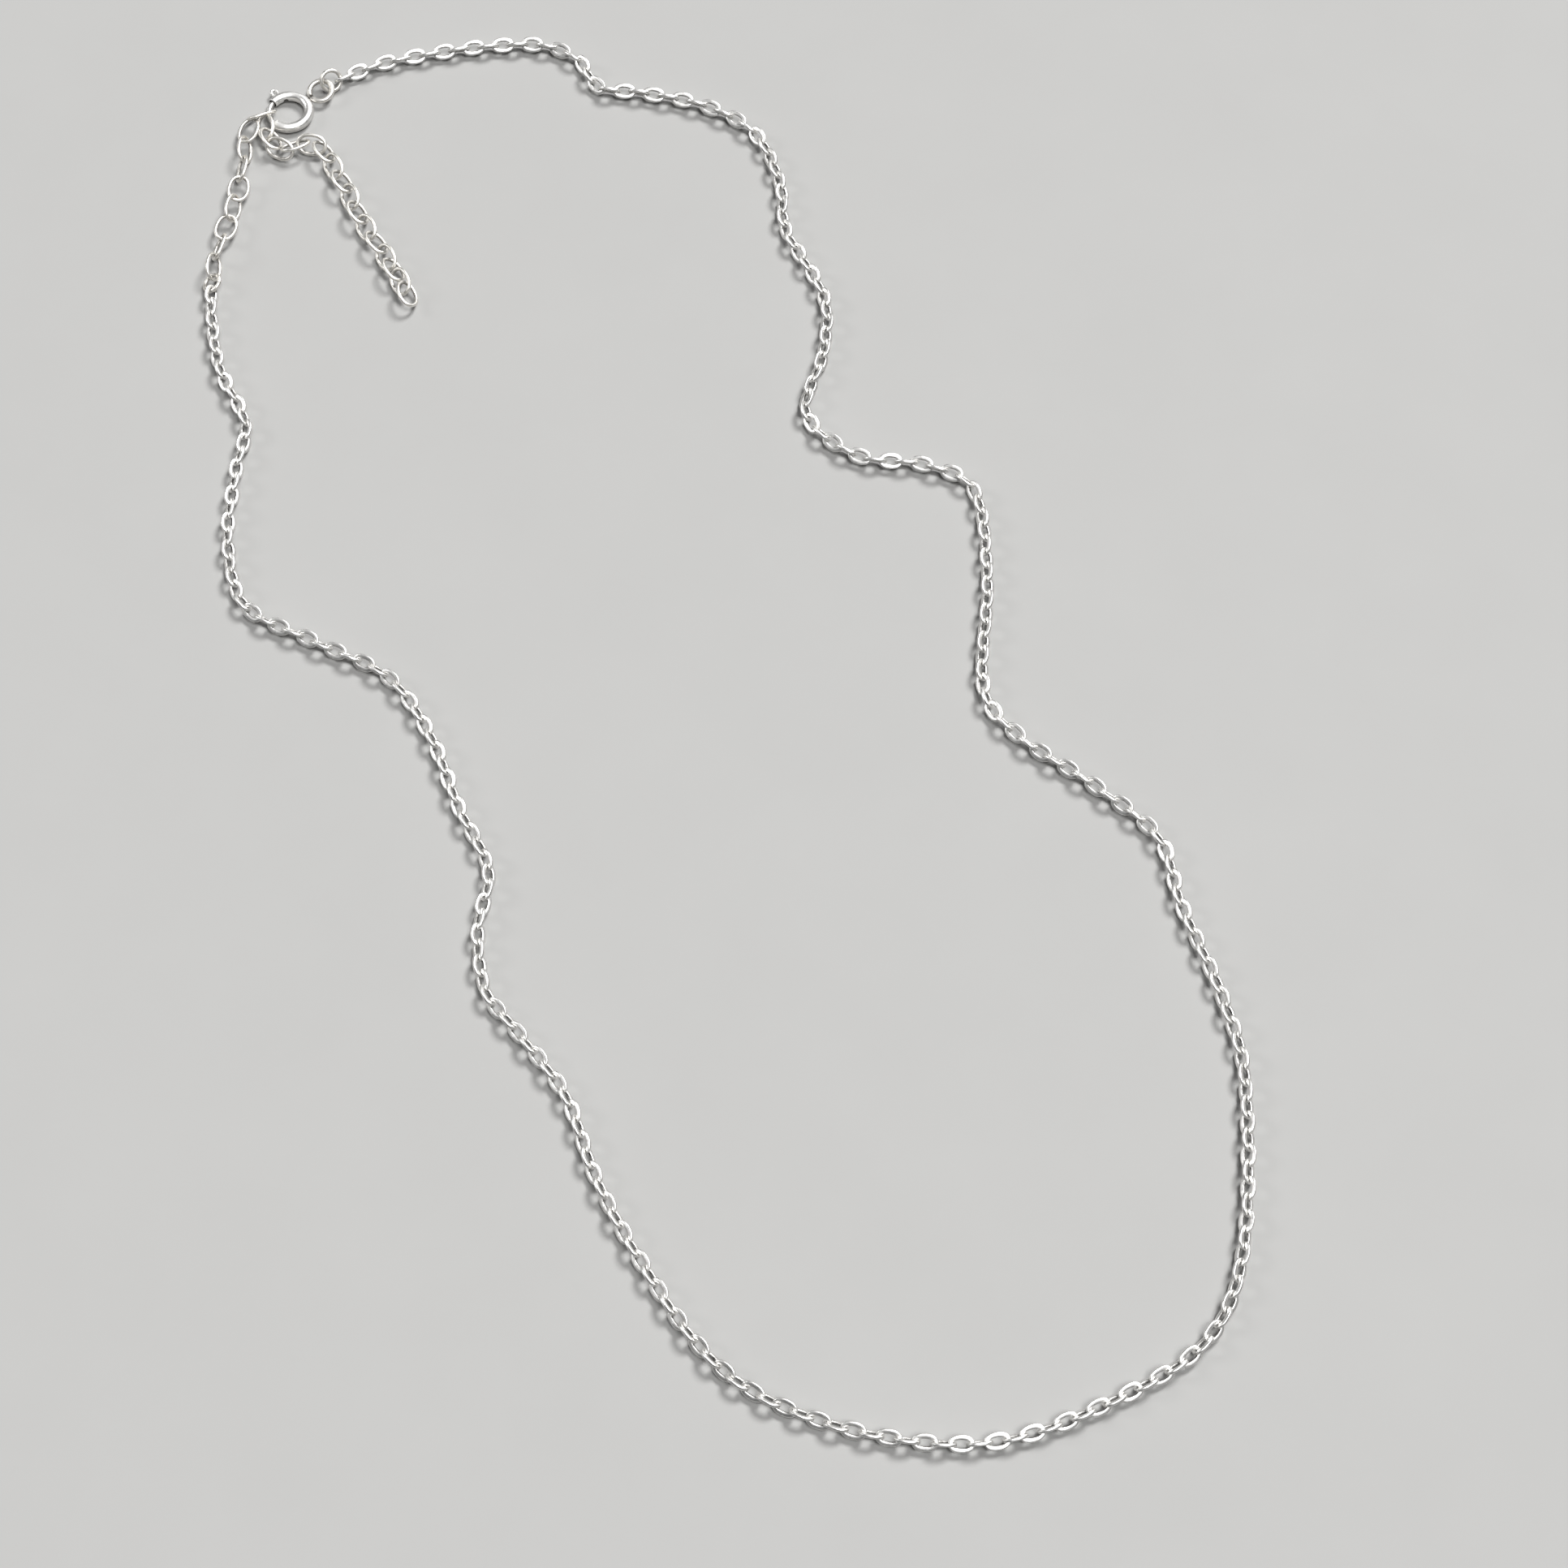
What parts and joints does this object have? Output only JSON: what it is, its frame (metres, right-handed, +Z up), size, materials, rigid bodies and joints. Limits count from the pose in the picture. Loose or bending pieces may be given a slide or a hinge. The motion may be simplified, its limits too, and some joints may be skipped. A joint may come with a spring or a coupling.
{
  "type": "chain necklace",
  "caption": "Fine silver cable-chain necklace with a spring-ring clasp and an extender chain, fastened and lying flat in a loose loop.",
  "frame": {"origin": "middle of the necklace's footprint, on the surface that it lies on", "axes": "+Z up from the surface, +Y along the loop's long way towards the clasp, +X to the right as the clasp is seen at the upper left"},
  "size_m": [0.1166, 0.1762, 0.0025],
  "materials": {
    "silver_chain": "satin silver with dark patina in the recesses",
    "silver_clasp": "satin silver",
    "silver_rings": "satin silver",
    "spring_steel": "drawn wire"
  },
  "bodies": {
    "chain_run_01": {"chain_run_01": "silver_chain"},
    "chain_run_02": {"chain_run_02": "silver_chain"},
    "chain_run_03": {"chain_run_03": "silver_chain"},
    "chain_run_04": {"chain_run_04": "silver_chain"},
    "chain_run_05": {"chain_run_05": "silver_chain"},
    "chain_run_06": {"chain_run_06": "silver_chain"},
    "chain_run_07": {"chain_run_07": "silver_chain"},
    "chain_run_08": {"chain_run_08": "silver_chain"},
    "chain_run_09": {"chain_run_09": "silver_chain"},
    "chain_run_10": {"chain_run_10": "silver_chain"},
    "chain_run_11": {"chain_run_11": "silver_chain"},
    "chain_run_12": {"chain_run_12": "silver_chain"},
    "chain_run_13": {"chain_run_13": "silver_chain"},
    "chain_run_14": {"chain_run_14": "silver_chain"},
    "chain_run_15": {"chain_run_15": "silver_chain"},
    "chain_run_16": {"chain_run_16": "silver_chain"},
    "chain_run_17": {"chain_run_17": "silver_chain"},
    "chain_run_18": {"chain_run_18": "silver_chain"},
    "chain_run_19": {"chain_run_19": "silver_chain"},
    "chain_run_20": {"chain_run_20": "silver_chain"},
    "chain_run_21": {"chain_run_21": "silver_chain"},
    "chain_run_22": {"chain_run_22": "silver_chain"},
    "chain_run_23": {"chain_run_23": "silver_chain"},
    "chain_run_24": {"chain_run_24": "silver_chain"},
    "chain_run_25": {"chain_run_25": "silver_chain"},
    "chain_run_26": {"chain_run_26": "silver_chain"},
    "chain_run_27": {"chain_run_27": "silver_chain"},
    "chain_run_28": {"chain_run_28": "silver_chain"},
    "bolt": {"clasp_bolt": "silver_clasp", "clasp_trigger": "silver_clasp"},
    "clasp": {"clasp_eye": "silver_rings", "clasp_spring": "spring_steel", "clasp_tube": "silver_clasp"},
    "extender_link_01": {"extender_link_01": "silver_chain"},
    "extender_link_02": {"extender_link_02": "silver_chain"},
    "extender_link_03": {"extender_link_03": "silver_chain"},
    "extender_link_04": {"extender_link_04": "silver_chain"},
    "extender_link_05": {"extender_link_05": "silver_chain"},
    "extender_link_06": {"extender_link_06": "silver_chain"},
    "extender_link_07": {"extender_link_07": "silver_chain"},
    "extender_link_08": {"extender_link_08": "silver_chain"},
    "extender_link_09": {"extender_link_09": "silver_chain"},
    "extender_link_10": {"extender_link_10": "silver_chain"},
    "extender_link_11": {"extender_link_11": "silver_chain"},
    "extender_link_12": {"extender_link_12": "silver_chain"},
    "extender_link_13": {"extender_link_13": "silver_chain"},
    "extender_link_14": {"extender_link_14": "silver_chain"},
    "extender_link_15": {"extender_link_15": "silver_chain"},
    "extender_link_16": {"extender_link_16": "silver_chain"},
    "extender_link_17": {"extender_link_17": "silver_chain"},
    "extender_link_18": {"extender_link_18": "silver_chain"},
    "extender_link_19": {"extender_link_19": "silver_chain"},
    "extender_link_20": {"extender_link_20": "silver_chain"},
    "extender_link_21": {"extender_link_21": "silver_chain"},
    "extender_link_22": {"extender_link_22": "silver_chain"},
    "extender_link_23": {"extender_link_23": "silver_chain"},
    "extender_link_24": {"extender_link_24": "silver_chain"},
    "extender_link_25": {"extender_link_25": "silver_chain"},
    "jump_ring_a": {"jump_ring_a": "silver_rings"},
    "jump_ring_b": {"jump_ring_b": "silver_rings"}
  },
  "joints": [
    {"name": "clasp_bolt_travel", "type": "hinge", "parent": "clasp", "child": "bolt", "pos_m": [-0.04985, 0.07729, 0.00076], "axis": [0, 0, -1], "range_deg": [0, 55], "stiffness_Nm_per_rad": 0.002, "springref_deg": -22.92, "deforming": ["clasp_spring"]},
    {"name": "bolt_to_extender", "type": "hinge", "parent": "clasp", "child": "extender_link_09", "pos_m": [-0.05223, 0.07696, 0.00076], "axis": [0.1392, -0.9903, 0], "range_deg": [-20, 20]},
    {"name": "clasp_to_ring_a", "type": "hinge", "parent": "clasp", "child": "jump_ring_a", "pos_m": [-0.04521, 0.08131, 0.00125], "axis": [0.7314, -0.682, 0], "range_deg": [-35, 35]},
    {"name": "ring_a_to_chain", "type": "hinge", "parent": "jump_ring_a", "child": "chain_run_01", "pos_m": [-0.0439, 0.08206, 0.00115], "axis": [-0.1517, 0.6386, 0.7544], "range_deg": [-45, 45]},
    {"name": "chain_01_02", "type": "hinge", "parent": "chain_run_01", "child": "chain_run_02", "pos_m": [-0.02872, 0.0867, 0.00098], "axis": [-0.1193, 0.697, -0.7071], "range_deg": [-45, 45]},
    {"name": "chain_02_03", "type": "hinge", "parent": "chain_run_02", "child": "chain_run_03", "pos_m": [-0.01506, 0.08482, 0.00098], "axis": [-0.4305, -0.561, 0.7071], "range_deg": [-45, 45]},
    {"name": "chain_03_04", "type": "hinge", "parent": "chain_run_03", "child": "chain_run_04", "pos_m": [-0.00146, 0.07859, 0.00098], "axis": [-0.1776, -0.6844, -0.7071], "range_deg": [-45, 45]},
    {"name": "chain_04_05", "type": "hinge", "parent": "chain_run_04", "child": "chain_run_05", "pos_m": [0.00897, 0.06748, 0.00098], "axis": [-0.677, -0.2042, 0.7071], "range_deg": [-45, 45]},
    {"name": "chain_05_06", "type": "hinge", "parent": "chain_run_05", "child": "chain_run_06", "pos_m": [0.01357, 0.0523, 0.00098], "axis": [0.6334, 0.3143, 0.7071], "range_deg": [-45, 45]},
    {"name": "chain_06_07", "type": "hinge", "parent": "chain_run_06", "child": "chain_run_07", "pos_m": [0.01302, 0.03835, 0.00098], "axis": [0.6657, -0.2383, 0.7071], "range_deg": [-45, 45]},
    {"name": "chain_07_08", "type": "hinge", "parent": "chain_run_07", "child": "chain_run_08", "pos_m": [0.02111, 0.02737, 0.00098], "axis": [-0.1135, -0.6979, 0.7071], "range_deg": [-45, 45]},
    {"name": "chain_08_09", "type": "hinge", "parent": "chain_run_08", "child": "chain_run_09", "pos_m": [0.03219, 0.01876, 0.00098], "axis": [-0.7024, -0.0813, -0.7071], "range_deg": [-45, 45]},
    {"name": "chain_09_10", "type": "hinge", "parent": "chain_run_09", "child": "chain_run_10", "pos_m": [0.03181, 0.00446, 0.00098], "axis": [0.7026, -0.0797, 0.7071], "range_deg": [-45, 45]},
    {"name": "chain_10_11", "type": "hinge", "parent": "chain_run_10", "child": "chain_run_11", "pos_m": [0.03703, -0.0097, 0.00098], "axis": [-0.462, -0.5353, 0.7071], "range_deg": [-45, 45]},
    {"name": "chain_11_12", "type": "hinge", "parent": "chain_run_11", "child": "chain_run_12", "pos_m": [0.04951, -0.01984, 0.00098], "axis": [0.527, 0.4715, 0.7071], "range_deg": [-45, 45]},
    {"name": "chain_12_13", "type": "hinge", "parent": "chain_run_12", "child": "chain_run_13", "pos_m": [0.05437, -0.03513, 0.00098], "axis": [-0.6632, -0.2452, 0.7071], "range_deg": [-45, 45]},
    {"name": "chain_13_14", "type": "hinge", "parent": "chain_run_13", "child": "chain_run_14", "pos_m": [0.0575, -0.04904, 0.00098], "axis": [-0.7064, -0.0307, 0.7071], "range_deg": [-45, 45]},
    {"name": "chain_15_16", "type": "hinge", "parent": "chain_run_16", "child": "chain_run_15", "pos_m": [0.0498, -0.07869, 0.00098], "axis": [0.3959, -0.5859, 0.7071], "range_deg": [-45, 45]},
    {"name": "chain_16_17", "type": "hinge", "parent": "chain_run_17", "child": "chain_run_16", "pos_m": [0.03709, -0.08525, 0.00098], "axis": [-0.2335, 0.6674, -0.7071], "range_deg": [-45, 45]},
    {"name": "chain_17_18", "type": "hinge", "parent": "chain_run_18", "child": "chain_run_17", "pos_m": [0.02127, -0.08688, 0.00098], "axis": [-0.1213, -0.6966, -0.7071], "range_deg": [-45, 45]},
    {"name": "chain_18_19", "type": "hinge", "parent": "chain_run_19", "child": "chain_run_18", "pos_m": [0.00612, -0.08168, 0.00098], "axis": [-0.4164, -0.5715, 0.7071], "range_deg": [-45, 45]},
    {"name": "chain_19_20", "type": "hinge", "parent": "chain_run_20", "child": "chain_run_19", "pos_m": [-0.00412, -0.06941, 0.00098], "axis": [0.6066, 0.3633, 0.7071], "range_deg": [-45, 45]},
    {"name": "chain_20_21", "type": "hinge", "parent": "chain_run_21", "child": "chain_run_20", "pos_m": [-0.01056, -0.05664, 0.00098], "axis": [0.6733, 0.2161, 0.7071], "range_deg": [-45, 45]},
    {"name": "chain_21_22", "type": "hinge", "parent": "chain_run_22", "child": "chain_run_21", "pos_m": [-0.01838, -0.04274, 0.00098], "axis": [-0.534, -0.4635, 0.7071], "range_deg": [-45, 45]},
    {"name": "chain_22_23", "type": "hinge", "parent": "chain_run_23", "child": "chain_run_22", "pos_m": [-0.02211, -0.0279, 0.00098], "axis": [-0.6999, 0.1006, -0.7071], "range_deg": [-45, 45]},
    {"name": "chain_23_24", "type": "hinge", "parent": "chain_run_24", "child": "chain_run_23", "pos_m": [-0.02623, -0.01455, 0.00098], "axis": [0.6651, 0.2401, 0.7071], "range_deg": [-45, 45]},
    {"name": "chain_24_25", "type": "hinge", "parent": "chain_run_25", "child": "chain_run_24", "pos_m": [-0.03398, -0.00057, 0.00098], "axis": [0.3931, 0.5878, -0.7071], "range_deg": [-45, 45]},
    {"name": "chain_25_26", "type": "hinge", "parent": "chain_run_26", "child": "chain_run_25", "pos_m": [-0.04837, 0.00667, 0.00098], "axis": [0.4566, 0.5399, 0.7071], "range_deg": [-45, 45]},
    {"name": "chain_26_27", "type": "hinge", "parent": "chain_run_27", "child": "chain_run_26", "pos_m": [-0.05282, 0.02151, 0.00098], "axis": [0.7055, -0.0474, -0.7071], "range_deg": [-45, 45]},
    {"name": "chain_27_28", "type": "hinge", "parent": "chain_run_28", "child": "chain_run_27", "pos_m": [-0.05309, 0.03552, 0.00098], "axis": [0.6186, 0.3426, -0.7071], "range_deg": [-45, 45]},
    {"name": "ring_b_to_chain", "type": "hinge", "parent": "jump_ring_b", "child": "chain_run_28", "pos_m": [-0.0571, 0.05092, 0.00103], "axis": [0.8466, 0.0492, 0.5299], "range_deg": [-45, 45]},
    {"name": "extender_to_ring_b", "type": "hinge", "parent": "extender_link_01", "child": "jump_ring_b", "pos_m": [-0.0572, 0.05251, 0.00132], "axis": [0.4991, -0.0307, -0.866], "range_deg": [-45, 45]},
    {"name": "extender_01_02", "type": "hinge", "parent": "extender_link_02", "child": "extender_link_01", "pos_m": [-0.05701, 0.05539, 0.00132], "axis": [0.518, -0.1116, 0.848], "range_deg": [-45, 45]},
    {"name": "extender_02_03", "type": "hinge", "parent": "extender_link_03", "child": "extender_link_02", "pos_m": [-0.05641, 0.0582, 0.00132], "axis": [0.9747, -0.2123, -0.0698], "range_deg": [-45, 45]},
    {"name": "extender_03_04", "type": "hinge", "parent": "extender_link_04", "child": "extender_link_03", "pos_m": [-0.05578, 0.06101, 0.00132], "axis": [0.4897, -0.1011, -0.866], "range_deg": [-45, 45]},
    {"name": "extender_04_05", "type": "hinge", "parent": "extender_link_05", "child": "extender_link_04", "pos_m": [-0.05516, 0.06383, 0.00132], "axis": [0.9852, -0.1002, -0.1392], "range_deg": [-45, 45]},
    {"name": "extender_05_06", "type": "hinge", "parent": "extender_link_06", "child": "extender_link_05", "pos_m": [-0.05488, 0.06669, 0.00132], "axis": [0.5291, -0.0286, 0.848], "range_deg": [-45, 45]},
    {"name": "extender_06_07", "type": "hinge", "parent": "extender_link_07", "child": "extender_link_06", "pos_m": [-0.05469, 0.06957, 0.00132], "axis": [0.4999, -0.0121, -0.866], "range_deg": [-45, 45]},
    {"name": "extender_07_08", "type": "hinge", "parent": "extender_link_08", "child": "extender_link_07", "pos_m": [-0.05474, 0.07247, 0.0013], "axis": [-0.9482, 0.2061, -0.2419], "range_deg": [-45, 45]},
    {"name": "extender_08_09", "type": "hinge", "parent": "extender_link_09", "child": "extender_link_08", "pos_m": [-0.05442, 0.07568, 0.00154], "axis": [-0.4678, 0.4389, -0.7672], "range_deg": [-18, 18]},
    {"name": "extender_09_10", "type": "hinge", "parent": "extender_link_09", "child": "extender_link_10", "pos_m": [-0.05164, 0.07732, 0.00079], "axis": [-0.4678, 0.4389, -0.7672], "range_deg": [-12, 3]},
    {"name": "extender_10_11", "type": "hinge", "parent": "extender_link_10", "child": "extender_link_11", "pos_m": [-0.0519, 0.07308, 0.00133], "axis": [-0.7177, -0.2697, -0.6421], "range_deg": [-20, 20]},
    {"name": "extender_11_12", "type": "hinge", "parent": "extender_link_11", "child": "extender_link_12", "pos_m": [-0.0509, 0.07139, 0.00136], "axis": [0.7348, 0.384, -0.5591], "range_deg": [-25, 25]},
    {"name": "extender_12_13", "type": "hinge", "parent": "extender_link_12", "child": "extender_link_13", "pos_m": [-0.049, 0.0706, 0.00131], "axis": [0.3526, 0.6801, 0.6428], "range_deg": [-45, 45]},
    {"name": "extender_13_14", "type": "hinge", "parent": "extender_link_13", "child": "extender_link_14", "pos_m": [-0.04713, 0.07247, 0.00132], "axis": [0.3172, -0.7659, 0.5592], "range_deg": [-45, 45]},
    {"name": "extender_14_15", "type": "hinge", "parent": "extender_link_14", "child": "extender_link_15", "pos_m": [-0.04511, 0.07169, 0.00132], "axis": [-0.1262, -0.7556, -0.6428], "range_deg": [-45, 45]},
    {"name": "extender_15_16", "type": "hinge", "parent": "extender_link_15", "child": "extender_link_16", "pos_m": [-0.04434, 0.06949, 0.00132], "axis": [0.7123, 0.4242, -0.5592], "range_deg": [-45, 45]},
    {"name": "extender_16_17", "type": "hinge", "parent": "extender_link_16", "child": "extender_link_17", "pos_m": [-0.04315, 0.06729, 0.00132], "axis": [0.67, 0.3714, 0.6428], "range_deg": [-45, 45]},
    {"name": "extender_17_18", "type": "hinge", "parent": "extender_link_17", "child": "extender_link_18", "pos_m": [-0.04203, 0.06505, 0.00132], "axis": [0.7391, 0.3756, -0.5592], "range_deg": [-45, 45]},
    {"name": "extender_18_19", "type": "hinge", "parent": "extender_link_18", "child": "extender_link_19", "pos_m": [-0.04105, 0.06276, 0.00132], "axis": [-0.7012, -0.3084, -0.6428], "range_deg": [-45, 45]},
    {"name": "extender_19_20", "type": "hinge", "parent": "extender_link_19", "child": "extender_link_20", "pos_m": [-0.04001, 0.06048, 0.00132], "axis": [0.7523, 0.3483, -0.5592], "range_deg": [-45, 45]},
    {"name": "extender_20_21", "type": "hinge", "parent": "extender_link_20", "child": "extender_link_21", "pos_m": [-0.03869, 0.05835, 0.00132], "axis": [0.6603, 0.3884, 0.6428], "range_deg": [-45, 45]},
    {"name": "extender_21_22", "type": "hinge", "parent": "extender_link_21", "child": "extender_link_22", "pos_m": [-0.03737, 0.05623, 0.00132], "axis": [-0.7086, -0.4304, 0.5592], "range_deg": [-45, 45]},
    {"name": "extender_22_23", "type": "hinge", "parent": "extender_link_22", "child": "extender_link_23", "pos_m": [-0.03618, 0.05403, 0.00132], "axis": [0.6686, 0.3738, 0.6428], "range_deg": [-45, 45]},
    {"name": "extender_23_24", "type": "hinge", "parent": "extender_link_23", "child": "extender_link_24", "pos_m": [-0.03526, 0.05231, 0.00132], "axis": [0.729, 0.3948, -0.5592], "range_deg": [-45, 45]},
    {"name": "extender_24_25", "type": "hinge", "parent": "extender_link_24", "child": "extender_link_25", "pos_m": [-0.03436, 0.05058, 0.00132], "axis": [0.6768, 0.3588, 0.6428], "range_deg": [-45, 45]}
  ]
}
